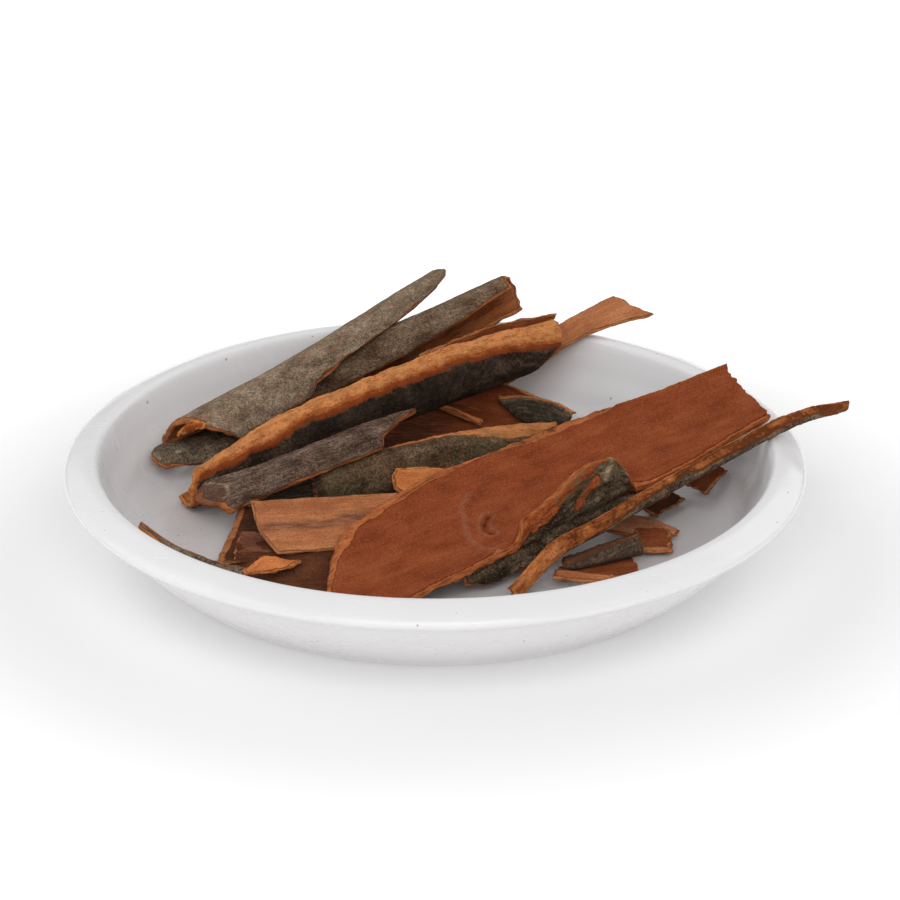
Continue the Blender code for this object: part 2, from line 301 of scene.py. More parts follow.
def section(zones, u):
    """Across and up from the spine, the turn of the surface, the distance across it and the whole width."""
    # Each zone bends evenly, in short steps, and the middle of the second zone, or the only one, is level
    middle = min(1, zones.shape[1] - 1)
    angle = np.radians(-zones[:, :middle, 1].sum(1) - zones[:, middle, 1] / 2)
    spots, angles, steps = [np.zeros((len(u), 2))], [angle], []
    for zone in range(zones.shape[1]):
        for _ in range(ZONE_STEPS):
            half = np.radians(zones[:, zone, 1]) / (2 * ZONE_STEPS)
            step = zones[:, zone, 0] / ZONE_STEPS
            angle = angle + half
            spots.append(spots[-1] + np.stack([np.cos(angle), -np.sin(angle)], 1) * step[:, None])
            angle = angle + half
            angles.append(angle)
            steps.append(step)
    spots, angles, steps = np.stack(spots), np.stack(angles), np.stack(steps)
    centre = spots[middle * ZONE_STEPS : (middle + 1) * ZONE_STEPS + 1].mean(0)

    # Between two steps runs a curve that leaves and arrives in their directions
    place = u * len(steps)
    k = np.clip(place.astype(int), 0, len(steps) - 1)
    f = place - k
    every = np.arange(len(u))
    length = steps[k, every][:, None]
    p, q = spots[k, every], spots[k + 1, every]
    a, b = angles[k, every], angles[k + 1, every]
    leave = np.stack([np.cos(a), -np.sin(a)], 1) * length
    arrive = np.stack([np.cos(b), -np.sin(b)], 1) * length
    g = f[:, None]
    spot = (
        p * (2 * g**3 - 3 * g**2 + 1)
        + leave * (g**3 - 2 * g**2 + g)
        + q * (3 * g**2 - 2 * g**3)
        + arrive * (g**3 - g**2)
    )
    reach = np.concatenate([np.zeros((1, len(u))), np.cumsum(steps, 0)])
    distance = reach[k, every] + f * steps[k, every]
    return spot - centre, a + (b - a) * f, distance, reach[-1]


def flat_slab(name, columns, rows):
    """A slab in a sheet's own coordinates: x across it, y along it and z through it, each from -1 to 1."""
    shape = bmesh.new()
    bmesh.ops.create_grid(shape, x_segments=columns, y_segments=rows, size=1.0)
    bmesh.ops.translate(shape, verts=shape.verts, vec=(0.0, 0.0, -1.0))
    raised = bmesh.ops.extrude_face_region(shape, geom=shape.faces[:], use_keep_orig=True)["geom"]
    top = [part for part in raised if isinstance(part, bmesh.types.BMVert)]
    bmesh.ops.translate(shape, verts=top, vec=(0.0, 0.0, 2.0))
    walls = [edge for edge in shape.edges if abs(edge.verts[0].co.z - edge.verts[1].co.z) > 1.0]
    bmesh.ops.subdivide_edges(shape, edges=walls, cuts=RIM_CUTS, use_grid_fill=True)
    bmesh.ops.recalc_face_normals(shape, faces=shape.faces)
    made = object_from(shape, name)
    places = np.empty(len(made.data.vertices) * 3)
    made.data.vertices.foreach_get("co", places)
    return made, places.reshape(-1, 3).T


def directions(spine, roll, t):
    """The directions along the spine, across the sheet and out of its face, at each t."""
    inside = np.clip(t, SPINE_STEP, 1 - SPINE_STEP)
    ahead = along(spine, inside + SPINE_STEP) - along(spine, inside - SPINE_STEP)
    ahead /= np.linalg.norm(ahead, axis=1)[:, None]
    front = np.cross(ahead, (0.0, 0.0, 1.0))
    front /= np.linalg.norm(front, axis=1)[:, None]
    top = np.cross(front, ahead)
    tilt = np.radians(along(roll, t))[:, None]
    return ahead, front * np.cos(tilt) - top * np.sin(tilt), top * np.cos(tilt) + front * np.sin(tilt)


def keep_values(mesh, name, values):
    """Keeps three values at each point of the mesh, which the material reads by name."""
    kept = mesh.attributes.new(name, "FLOAT_VECTOR", "POINT")
    kept.data.foreach_set("vector", np.stack(values, 1).ravel())


def bark(
    name,
    spine,
    sheet,
    roll,
    material,
    thickness=THIN,
    spacing=0.45,
    start_cut=(0.0,),
    end_cut=(0.0,),
    outline=None,
    torn=(0.3, 0.3, 0.8, 0.8),
    worn=(0.5, 0.5, 0.7, 0.7),
    plies=0.2,
    ridges=0.1,
    waves=0.3,
    relief=None,
    broken=None,
    marks=None,
    inner_up=False,
    slot="grey_bark",
    scrap=False,
    seed=1,
):
    """One sheet of bark, shaped as its solid is and then given its torn edges and its relief.

    name is the node of that solid, or the scrap's own name where no solid stands for it. sheet, roll
    and the cuts are those of the solid: zones (width, bend) from the far edge to the near one, the
    tilt of the upper face towards the front, and how much shorter the ends are across it. torn is how
    ragged the far, near, start and end edges are, worn how wide their broken rims are on the faces,
    and plies how far single plies stand out of them, all in millimetres. outline gives how much
    further in those four edges lie. relief raises the surface, broken shows the orange plies, and
    marks is (stain and painted shade, moss, crust), each as a function of the place on the sheet: the
    millimetres from its far and near edges and from its ends, forward along it, and side, from -1 below
    to 1 above. The stain colour paints real stains and also painted shade where a piece lies in shade.
    """
    spine = np.asarray(spine, float)
    length = np.linalg.norm(np.diff(spine, axis=0), axis=1).sum()
    widths = zones_at(sheet, np.linspace(0.0, 1.0, 5))[:, :, 0].sum(1)
    width = widths.mean()
    columns = max(FEWEST_COLUMNS, int(widths.max() / spacing))
    rows = max(FEWEST_ROWS, int(length / spacing))
    made, (x, y, side) = flat_slab(name if scrap else name + "_bark", columns, rows)
    u, v = (x + 1) / 2, (y + 1) / 2

    # Torn edges: teeth as wide as the fibres, a slow wander, and plies that stand out or lie back
    first, last = along(start_cut, u) / length, 1 - along(end_cut, u) / length
    t = first + (last - first) * v
    at = SimpleNamespace(far=section(zones_at(sheet, t), u)[2], forward=t * length, side=side)
    shifts = [0.0] * 4 if outline is None else outline(at)
    runs = [at.forward / LONG_TEETH] * 2 + [at.far / SHORT_TEETH] * 2
    in_far, in_near, in_start, in_end = (
        shift
        + ragged * (crags(run, side * 0.4 + 7.3 + k, seed + 11 * k) + 0.25)
        + plies * hills(run * 0.7, side * 2.9 + 3.1 * k, seed + 7 * k + 5)
        - RIM_BULGE * thickness * (1 - side**2)
        for k, (shift, ragged, run) in enumerate(zip(shifts, torn, runs))
    )
    first, last = first + in_start / length, last - in_end / length
    t = first + (last - first) * v
    u = u + in_far / width * (1 - u) - in_near / width * u
    spot, turn, from_far, full = section(zones_at(sheet, t), u)
    at = SimpleNamespace(
        far=from_far - in_far,
        near=full - from_far - in_near,
        start=(t - first) * length,
        end=(last - t) * length,
        forward=t * length,
        side=side,
    )

    # Relief: the faces thin out to the rim, ridges run along the grain, and slow waves move both faces
    frayed = 0.3 * lumpy(at, 0.9, 1.2, seed + 71)
    gaps = (at.far, at.near, at.start, at.end)
    wear = np.max([fall(gap + frayed * wide, 0.0, wide) for gap, wide in zip(gaps, worn)], axis=0)
    rough = lumpy(at, 1.1, 9.0, seed + 41) * ridges
    rough = rough + lumpy(at, 0.8, 1.1, seed + 53) * ridges * 0.6
    rough = rough + lumpy(at, 0.8, 0.9, seed + 83) * wear * 0.16
    warp = hills(at.far / 8.0, at.forward / 16.0, seed + 61) * waves
    warp = warp + lumpy(at, 3.0, 5.0, seed + 67) * waves * 0.3
    if relief is not None:
        rough = rough + relief(at)
    through = side * (thickness / 2 * (1 - RIM_THINNING * wear)) + rough * side * np.abs(side) + warp

    # Each place goes to its spot on the curled sheet, and past the spine's ends it goes straight on
    ahead, across, face = directions(spine, roll, t)
    outwards = across * np.sin(turn)[:, None] + face * np.cos(turn)[:, None]
    beyond = (t - np.clip(t, 0.0, 1.0)) * length
    spots = along(spine, t) + ahead * beyond[:, None]
    spots = spots + across * spot[:, :1] + face * spot[:, 1:] + outwards * through[:, None]
    made.data.vertices.foreach_set("co", (spots * MM).ravel())

    # What the material reads: the place along the grain in millimetres, and what shows there
    is_inner = (1 + side) / 2 if inner_up else (1 - side) / 2
    on_rim = (np.abs(side) < 0.99) * 1.0
    shows = np.maximum(wear, on_rim)
    if broken is not None:
        shows = np.clip(np.maximum(shows, broken(at)), 0.0, 1.0)
    painted = (0.0, 0.0, 0.0) if marks is None else marks(at)
    keep_values(made.data, "grain", (at.far, at.forward, through))
    keep_values(made.data, "layer", (is_inner, shows, on_rim))
    keep_values(made.data, "marks_and_shade", [np.clip(np.broadcast_to(mark, t.shape), 0.0, 1.0) for mark in painted])
    made.data.update()
    made.data.materials.append(material)
    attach(made, "root")
    if not scrap:
        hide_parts(name)


def tones(tree, factor, low, high, colours):
    """From the palest of three colours at low to the darkest at high."""
    made = shader_node(tree, "ValToRGB", {"Fac": factor})
    made.color_ramp.interpolation = "EASE"
    made.color_ramp.elements.new(0.5)
    for element, place, colour in zip(made.color_ramp.elements, (low, (low + high) / 2, high), colours):
        element.position = place
        element.color = (*colour, 1.0)
    return made.outputs["Color"]


def scaled(tree, colour, factor):
    return shader_node(tree, "VectorMath", {0: colour, "Scale": factor}, operation="SCALE").outputs["Vector"]


def small_marks(tree, place, size, rare, strength):
    """Small ragged marks as large as size on the sheet: the nearer rare is to 1, the fewer there are."""
    return spread(tree, speckle(tree, place, (*size, 40.0), 1.0), rare, rare + 0.035, 0.0, strength)


def bark_material(
    name,
    outer,
    inner,
    torn,
    stain_and_shade=(0.03, 0.02, 0.015),
    moss=(0.11, 0.10, 0.05),
    crust=(0.34, 0.27, 0.21),
    offset=0.0,
    mottle=0.35,
    streaks=0.2,
    specks=0.4,
    pits=0.55,
    fibres=0.12,
    flecks=0.35,
    banding=0.45,
    bumps=0.9,
):
    """Bark in its three layers, each given as a pale, a main and a dark colour.

    The outer skin is mottled, streaked, pitted and specked; the inner face is smooth with fine fibres,
    pores and pale flecks; the torn rim is a rough stack of orange plies. The stain colour, moss and crust
    are the colours of the marks on them, and the stain colour also serves as painted shade.
    """
    material = bpy.data.materials.new(name)
    tree, surface = surface_of(material)
    grain = shader_node(tree, "Attribute", attribute_name="grain").outputs["Vector"]
    place = shader_node(tree, "Mapping", {"Vector": grain, "Location": (offset, offset * 1.7, 0.0)})
    place = place.outputs["Vector"]
    layer = shader_node(tree, "Attribute", attribute_name="layer").outputs["Vector"]
    is_inner, is_broken, on_rim = shader_node(tree, "SeparateXYZ", {0: layer}).outputs
    marks_and_shade = shader_node(tree, "Attribute", attribute_name="marks_and_shade").outputs["Vector"]
    stain_and_shade_mask, mossy, crusted = shader_node(tree, "SeparateXYZ", {0: marks_and_shade}).outputs

    patches = speckle(tree, place, (4.5, 8.0, 5.0), 3.0)
    blotches = speckle(tree, place, (1.0, 1.7, 1.2), 3.0, 0.6)
    grit = speckle(tree, place, (0.4, 0.55, 0.4), 2.0, 0.6)
    streak = speckle(tree, place, (0.45, 5.5, 0.8), 3.0, 0.6)
    fibre = speckle(tree, place, (0.25, 8.0, 0.5), 3.0, 0.6)
    bands = speckle(tree, place, (2.4, 38.0, 3.0), 2.0)
    ply = speckle(tree, place, (1.4, 3.0, 0.22), 2.0, 0.6)

    outside = tones(tree, patches, 0.34, 0.66, outer)
    shade = spread(tree, blotches, 0.28, 0.72, 1 - mottle, 1 + mottle)
    shade = maths(tree, "MULTIPLY", shade, spread(tree, streak, 0.3, 0.7, 1 + streaks, 1 - streaks))
    shade = maths(tree, "MULTIPLY", shade, spread(tree, grit, 0.32, 0.68, 0.62, 1.38))
    outside = scaled(tree, outside, shade)
    pit = small_marks(tree, place, (0.5, 0.7), 0.615, pits)
    outside = blend(tree, pit, outside, tuple(c * 0.3 for c in outer[2]))
    speck = small_marks(tree, place, (0.3, 0.8), 0.635, specks)
    outside = blend(tree, speck, outside, tuple(min(1.0, c * 1.7 + 0.03) for c in outer[0]))

    warm = shader_node(tree, "Mix", {0: banding, 2: patches, 3: bands}).outputs[0]
    inside = tones(tree, warm, 0.36, 0.64, inner)
    shade = spread(tree, fibre, 0.3, 0.7, 1 + fibres, 1 - fibres)
    shade = maths(tree, "MULTIPLY", shade, spread(tree, grit, 0.32, 0.68, 0.86, 1.14))
    inside = scaled(tree, inside, shade)
    pores = small_marks(tree, place, (0.4, 0.6), 0.655, 0.7)
    inside = blend(tree, pores, inside, tuple(c * 0.3 for c in inner[2]))
    bright = tuple(min(1.0, c * 1.35 + 0.07) for c in inner[0])
    inside = blend(tree, small_marks(tree, place, (0.32, 0.42), 0.66, flecks), inside, bright)

    lumps = maths(tree, "ADD", maths(tree, "MULTIPLY", blotches, 0.3), maths(tree, "MULTIPLY", grit, 0.32))
    lumps = maths(tree, "ADD", lumps, maths(tree, "MULTIPLY", streak, 0.38))
    plied = blend(tree, on_rim, lumps, ply)
    depth = maths(tree, "MULTIPLY", maths(tree, "SUBTRACT", 0.85, is_broken), 0.7)
    fresh = tones(tree, maths(tree, "ADD", plied, depth), 0.36, 0.64, torn)
    clouds = speckle(tree, place, (1.5, 4.0, 1.0), 2.0)
    fresh = scaled(tree, fresh, spread(tree, clouds, 0.36, 0.64, 1.1, 0.84))
    fresh = blend(tree, small_marks(tree, place, (0.4, 0.9), 0.66, 0.5), fresh, torn[2])

    colour = blend(tree, is_inner, outside, inside)
    uneven = maths(tree, "ADD", is_broken, maths(tree, "MULTIPLY", maths(tree, "SUBTRACT", lumps, 0.5), 1.3))
    colour = blend(tree, spread(tree, uneven, 0.22, 0.45, 0.0, 0.55), colour, torn[2])
    colour = blend(tree, spread(tree, uneven, 0.4, 0.6), colour, fresh)
    mossed = maths(tree, "MULTIPLY", mossy, spread(tree, blotches, 0.58, 0.42))
    colour = blend(tree, mossed, colour, scaled(tree, moss, spread(tree, grit, 0.3, 0.7, 0.7, 1.3)))
    crust_shade = spread(tree, streak, 0.3, 0.7, 1.25, 0.7)
    crusty = maths(tree, "MULTIPLY", crusted, spread(tree, lumps, 0.62, 0.42))
    colour = blend(tree, crusty, colour, scaled(tree, crust, crust_shade))
    # The stain colour paints real stains, and on some pieces painted shade where they lie in shade
    stain_and_shade_colour = scaled(tree, stain_and_shade, spread(tree, lumps, 0.38, 0.62, 0.75, 1.25))
    stain_and_shade_amount = maths(tree, "MULTIPLY", stain_and_shade_mask, spread(tree, streak, 0.75, 0.4))
    colour = blend(tree, stain_and_shade_amount, colour, stain_and_shade_colour)
    tree.links.new(colour, surface.inputs["Base Color"])

    skin = maths(tree, "ADD", maths(tree, "MULTIPLY", blotches, 0.55), maths(tree, "MULTIPLY", streak, 0.35))
    skin = maths(tree, "ADD", skin, maths(tree, "MULTIPLY", grit, 0.2))
    skin = maths(tree, "SUBTRACT", skin, maths(tree, "MULTIPLY", pit, 0.3))
    sleek = maths(tree, "ADD", maths(tree, "MULTIPLY", fibre, 0.16), maths(tree, "MULTIPLY", grit, 0.08))
    height = shader_node(tree, "Mix", {0: is_inner, 2: skin, 3: sleek}).outputs[0]
    height = shader_node(tree, "Mix", {0: is_broken, 2: height, 3: plied}).outputs[0]
    bump = shader_node(tree, "Bump", {"Height": height, "Strength": bumps, "Distance": 0.4 * MM})
    tree.links.new(bump.outputs["Normal"], surface.inputs["Normal"])
    tree.links.new(spread(tree, grit, 0.2, 0.8, 0.72, 0.95), surface.inputs["Roughness"])
    surface.inputs["Specular IOR Level"].default_value = 0.05
    return material


BROWN_SKIN = ((0.16, 0.12, 0.08), (0.10, 0.075, 0.05), (0.055, 0.04, 0.026))
dark_brown = bark_material(
    "dark brown bark",
    outer=BROWN_SKIN,
    inner=((0.12, 0.042, 0.019), (0.085, 0.028, 0.0125), (0.05, 0.016, 0.007)),
    torn=((0.396, 0.163, 0.0693), (0.238, 0.076, 0.0272), (0.108, 0.032, 0.012)),
    offset=3.0,
)
flake_brown = bark_material(
    "ragged flake bark",
    outer=BROWN_SKIN,
    inner=((0.22, 0.085, 0.05), (0.15, 0.055, 0.03), (0.10, 0.032, 0.016)),
    torn=((0.301, 0.104, 0.0396), (0.176, 0.0532, 0.0204), (0.09, 0.0256, 0.0105)),
    offset=5.0,
)
brown_piece = partial(bark, inner_up=True, slot="inner_bark")
brown_piece(
    "floor_trough",
    spine=[(-55.5, -12.8, 6.4), (-28, -6, 6.2)],
    sheet=[(19, -50), (16, -35)],
    roll=(17, 14),
    material=dark_brown,
    spacing=0.35,
    start_cut=(9.5, 5.5, 2.0, 0.0),
    torn=(0.4, 0.4, 0.35, 0.6),
    worn=(0.5, 0.5, 0.9, 0.6),
    outline=lambda at: (0.0, -5.5 * fall(at.forward, 6, 18) - 2.0, -0.5 * rise(at.far, 8, 14), 0.0),
    broken=lambda at: fall(at.start, 1.5, 2.1),
    # The trough is painted dark beyond its left end band, as painted shade in its hollow
    marks=lambda at: (0.8 * rise(at.start, 2.0, 5.0), 0.0, 0.0),
    seed=102,
)
brown_piece(
    "ragged_dark_flake",
    spine=[(-47.5, -18.5, 7.5), (-33, -17, 6.9)],
    sheet=[(10, -10), (9, -10)],
    roll=(10, 10),
    material=flake_brown,
    spacing=0.3,
    torn=(1.4, 1.2, 2.4, 1.0),
    worn=(0.3, 0.3, 0.4, 0.4),
    seed=103,
)
brown_piece(
    "dark_floor_flat",
    spine=[(-43.5, -32, 5.1), (-18, -33, 5.1)],
    sheet=[(15, -8), (18, -8)],
    roll=(6, 6),
    material=dark_brown,
    torn=(0.5, 0.5, 1.2, 1.2),
    outline=lambda at: (-7.5 * fall(at.far, 4.0, 9.0), 0.0, -5.0, -2.0),
    seed=101,
)
brown_piece(
    "dark_chip",
    spine=[(52.8, 5.2, 5), (60.6, 14.6, 5.4)],
    sheet=[(6, -20), (6, -20)],
    roll=(10, 10),
    material=dark_brown,
    spacing=0.3,
    torn=(0.8, 0.8, 0.8, 1.0),
    seed=105,
)
brown_piece(
    "dark_splint",
    spine=[(17.5, -24.4, 4.6), (27, -21.4, 5)],
    sheet=[(3, 0), (3, 0)],
    roll=(5, 5),
    material=dark_brown,
    spacing=0.3,
    seed=107,
)

# Red-brown flats on the floor: the clean inner face of thin bark, at the back under the large quills
# and at the front right under the thin quill. They lie loose like the rest.
floor_brown = bark_material(
    "red brown floor bark",
    outer=BROWN_SKIN,
    inner=((0.27, 0.075, 0.028), (0.215, 0.054, 0.019), (0.15, 0.036, 0.013)),
    torn=((0.43, 0.178, 0.0726), (0.317, 0.106, 0.0374), (0.162, 0.048, 0.0165)),
    offset=7.0,
    flecks=0.2,
)
brown_piece(
    "brown_back_sheet",
    spine=[(-12, 53.6, 7.4), (30, 52, 6.9)],
    sheet=[(26, -6), (22, -6)],
    roll=(9, 9),
    material=floor_brown,
    torn=(0.4, 0.5, 0.8, 0.8),
    worn=(0.5, 0.5, 0.6, 1.0),
    outline=lambda at: (0.0, 0.0, -8.0 * rise(at.far, 8.0, 14.0), 0.0),
    # Its left part is painted dark, as painted shade under the quills that lie over it
    marks=lambda at: (0.75 * fall(at.forward, 8, 26), 0.0, 0.0),
    seed=104,
)
brown_piece(
    "brown_floor_chip",
    spine=[(30, -29, 4.8), (48.5, -25, 4.8)],
    sheet=[(5, -5), (8, -5), (8, -5)],
    roll=(6, 6),
    material=floor_brown,
    spacing=0.35,
    seed=106,
)
tan_piece = partial(bark, inner_up=True, slot="tan_bark")
tan_piece(
    "wall_flake",
    spine=[(65, 16.4, 6.2), (71, 21.2, 10.4)],
    sheet=[(8.5, -5), (8.5, -5)],
    roll=(2, 2),
    material=floor_brown,
    spacing=0.3,
    torn=(0.4, 0.6, 0.6, 0.5),
    worn=(0.3, 0.8, 0.6, 0.3),
    seed=126,
)
tan_piece(
    "layered_block",
    spine=[(49, -13.5, 6), (57, -13.5, 6)],
    sheet=[(8, -5), (8, -5)],
    roll=(15, 15),
    thickness=THICK,
    material=floor_brown,
    spacing=0.3,
    outline=lambda at: (0.0, -0.6 * rise(-at.side, -0.2, 0.3), 0.0, -0.7 * rise(-at.side, -0.2, 0.3)),
    plies=0.3,
    seed=128,
)

# Grey pieces low in the dish: small curled bits of outer bark, rolled up as they dried.
# They lie against the wall and the floor with their grey outer face up.
SMALL_INNER = ((0.26, 0.10, 0.045), (0.19, 0.065, 0.027), (0.12, 0.038, 0.015))
SMALL_TORN = ((0.447, 0.185, 0.0726), (0.317, 0.103, 0.034), (0.153, 0.048, 0.0188))
small_grey = bark_material(
    "small grey bark",
    outer=((0.21, 0.155, 0.11), (0.15, 0.10, 0.068), (0.085, 0.055, 0.036)),
    inner=SMALL_INNER,
    torn=SMALL_TORN,
    stain_and_shade=(0.05, 0.032, 0.022),
    offset=11.0,
)
green_grey = bark_material(
    "green grey bark",
    outer=((0.20, 0.155, 0.105), (0.14, 0.105, 0.068), (0.08, 0.057, 0.036)),
    inner=SMALL_INNER,
    torn=SMALL_TORN,
    stain_and_shade=(0.035, 0.026, 0.017),
    offset=13.0,
    specks=0.3,
)
bark(
    "curved_front_strip",
    spine=[(-69.6, -22.8, 14.2), (-62.5, -26.4, 10.0), (-53.5, -30.8, 7.4), (-45, -34.8, 6.5)],
    sheet=[(1.2, 60), (2, 60), (2.8, 60), (4.2, 60)],
    roll=(50, 50),
    material=small_grey,
    spacing=0.25,
    torn=(0.25, 0.2, 0.2, 0.6),
    outline=lambda at: (0.0, -1.7, -1.0, 0.0),
    broken=lambda at: fall(at.forward + 1.2 * at.far, 6.0, 10.0) * rise(at.far, 0.5, 0.9),
    seed=111,
)
bark(
    "small_curl",
    spine=[(17, 58, 13.0), (35.5, 47, 10.8)],
    sheet=[(2, 80), (7.5, 120), (9, 120), (7, 110)],
    roll=(60, 60),
    material=green_grey,
    spacing=0.3,
    outline=lambda at: (0.0, 0.0, 3.0 * rise(at.far, 0.5, 4.0) - 1.2, 0.6),
    broken=lambda at: fall(at.far + 0.25 * crags(at.forward / 1.5, 0.0, 12), 1.0, 1.5),
    # The grey body behind its orange edge is painted darker, partly its own dark grey and partly painted
    # shade
    marks=lambda at: (0.88 * rise(at.far, 1.4, 2.0), 0.0, 0.0),
    seed=112,
)
bark(
    "small_grey_roll",
    spine=[(30.5, -30, 7.4), (49.5, -22, 9.2)],
    sheet=[(2.5, 150), (4.5, 150), (6.5, 160)],
    roll=(70, 70),
    thickness=MEDIUM,
    material=small_grey,
    spacing=0.25,
    worn=(0.7, 0.4, 0.6, 0.5),
    ridges=0.2,
    broken=lambda at: 0.8 * fall(np.abs(at.far - 1.0), 0.3, 0.7),
    # The whole roll is painted darker, partly its own dark grey and partly painted shade
    marks=lambda at: (0.8, 0.0, 0.0),
    seed=113,
)
bark(
    "short_grey_scoop",
    spine=[(-71.5, 22.5, 11), (-47.5, 37, 12.6)],
    sheet=[(9.5, 90), (12, 100)],
    roll=(25, 25),
    thickness=MEDIUM,
    material=green_grey,
    spacing=0.35,
    start_cut=(4.0, 0.5, 0.0, 2.0),
    torn=(0.3, 0.4, 0.3, 0.8),
    worn=(0.4, 0.5, 0.5, 0.5),
    outline=lambda at: (0.0, 1.4 * fall(at.forward, 4, 14), 0.0, 0.0),
    seed=114,
)

# Tan chips and strips: split bark without its grey skin, paler and smoother than the rest.
# They broke off the larger pieces and lie between them.
tan = bark_material(
    "tan bark",
    outer=((0.46, 0.20, 0.09), (0.38, 0.15, 0.065), (0.28, 0.10, 0.04)),
    inner=((0.50, 0.20, 0.088), (0.43, 0.16, 0.066), (0.34, 0.118, 0.048)),
    torn=((0.473, 0.207, 0.0891), (0.334, 0.122, 0.0442), (0.18, 0.06, 0.0225)),
    stain_and_shade=(0.15, 0.07, 0.042),
    offset=23.0,
    fibres=0.16,
    flecks=0.15,
)
orange_tan = bark_material(
    "orange tan bark",
    outer=((0.50, 0.19, 0.07), (0.42, 0.14, 0.048), (0.30, 0.09, 0.03)),
    inner=((0.72, 0.265, 0.090), (0.64, 0.215, 0.066), (0.50, 0.155, 0.048)),
    torn=((0.516, 0.2, 0.0726), (0.37, 0.114, 0.034), (0.198, 0.056, 0.0165)),
    offset=29.0,
    fibres=0.14,
    flecks=0.15,
)
brown_tan = bark_material(
    "brown tan bark",
    outer=((0.30, 0.13, 0.065), (0.22, 0.09, 0.045), (0.15, 0.06, 0.03)),
    inner=((0.56, 0.24, 0.125), (0.46, 0.185, 0.094), (0.31, 0.12, 0.058)),
    torn=((0.396, 0.148, 0.0594), (0.264, 0.0836, 0.0306), (0.135, 0.04, 0.015)),
    offset=31.0,
    fibres=0.2,
)
tan_piece(
    "orange_sliver",
    spine=[(-44.5, -38.5, 9.6), (-33.8, -25.8, 8.3)],
    sheet=[(1.2, -5), (4.5, -5), (5, -5)],
    roll=(30, 30),
    material=orange_tan,
    spacing=0.25,
    outline=lambda at: (3.6 * rise(at.forward, 7, 17), -0.6, 0.0, 0.0),
    torn=(0.4, 0.5, 0.3, 0.8),
    seed=121,
)
TAN_STREAK = [(7.6, 2.5), (7.1, 8.5), (7.4, 15.7), (6.0, 22.0), (5.0, 31.0)]


def from_line(at, line):
    """How far each place on a sheet is from a line of (from the far edge, forward) points."""
    nearest = np.full(len(at.far), np.inf)
    for (p, q), (r, s) in zip(line, line[1:]):
        run = (r - p) ** 2 + (s - q) ** 2
        f = np.clip(((at.far - p) * (r - p) + (at.forward - q) * (s - q)) / run, 0.0, 1.0)
        nearest = np.minimum(nearest, np.hypot(at.far - p - f * (r - p), at.forward - q - f * (s - q)))
    return nearest


def tan_marks(at):
    """A dark streak runs along the grain of the tan strip."""
    streak = from_line(at, TAN_STREAK) + 0.4 * lumpy(at, 1, 4, 5)
    return 0.8 * fall(streak, 0.3, 2.0), 0.0, 0.0


tan_piece(
    "tan_strip",
    spine=[(-43.3, -19.3, 12.3), (-14, -12.5, 11.2)],
    sheet=[(13.2, -8), (13.2, -8)],
    roll=(37, 37),
    thickness=MEDIUM,
    material=tan,
    spacing=0.3,
    start_cut=(0.0, 1.0, 4.6),
    torn=(0.15, 0.25, 0.15, 0.5),
    worn=(0.2, 0.5, 0.15, 0.4),
    waves=0.2,
    outline=lambda at: (0.0, -1.2, 0.0, -3.0 - 3.0 * fall(at.far, 3.0, 7.0)),
    marks=tan_marks,
    seed=122,
)
tan_piece(
    "thin_splint",
    spine=[(-1, 61, 10.9), (12, 50, 9.6)],
    sheet=[(1.6, 0), (1.6, 0)],
    roll=(40, 40),
    material=orange_tan,
    spacing=0.25,
    torn=(0.15, 0.15, 0.4, 0.4),
    worn=(0.2, 0.2, 0.4, 0.4),
    marks=lambda at: (0.8 * fall(np.abs(at.far - 1.0), 0.1, 0.35), 0.0, 0.0),
    seed=123,
)
tan_piece(
    "tan_rim_strip",
    spine=[(8, 65.5, 11.2), (23, 69.7, 18.2), (38.5, 74.2, 27.5), (55.5, 81.3, 31.2)],
    sheet=[(6.5, -10), (7.5, -10), (8.5, -10), (11.5, -10)],
    roll=(15, 15),
    material=tan,
    end_cut=(7.0, 3.0, 0.0),
    outline=lambda at: (-0.5 * rise(at.forward, 36, 48), 0.0, 0.0, -1.2 * fall(at.far, 2.0, 5.0)),
    torn=(0.2, 0.3, 0.5, 0.25),
    worn=(0.3, 0.4, 0.6, 0.4),
    seed=124,
)
tan_piece(
    "tan_wedge_chip",
    spine=[(-10.5, 10, 10.6), (8, 16.6, 9.7)],
    sheet=[(7, -10), (6, -10), (2, 0)],
    roll=(50, 50),
    material=orange_tan,
    spacing=0.3,
    outline=lambda at: (0.0, 0.0, 1.6 * rise(np.abs(at.far - 3.2), 1.0, 3.6), 0.0),
    torn=(0.2, 0.2, 0.2, 0.5),
    worn=(0.35, 0.35, 0.8, 0.5),
    seed=125,
)
tan_piece(
    "pointed_tan_chip",
    spine=[(43, -3, 5.8), (59.5, -8.7, 5.5)],
    sheet=[(8, -10), (8, -10), (2, 0)],
    roll=(12, 12),
    material=brown_tan,
    spacing=0.3,
    worn=(0.3, 0.4, 0.6, 0.8),
    ridges=0.2,
    seed=127,
)
tan_piece(
    "tan_splint",
    spine=[(28.5, -34, 6.8), (42, -37, 6.8)],
    sheet=[(2.6, 0), (2.6, 0)],
    roll=(20, 20),
    thickness=MEDIUM,
    material=tan,
    spacing=0.25,
    torn=(0.2, 0.2, 0.3, 0.3),
    seed=129,
)

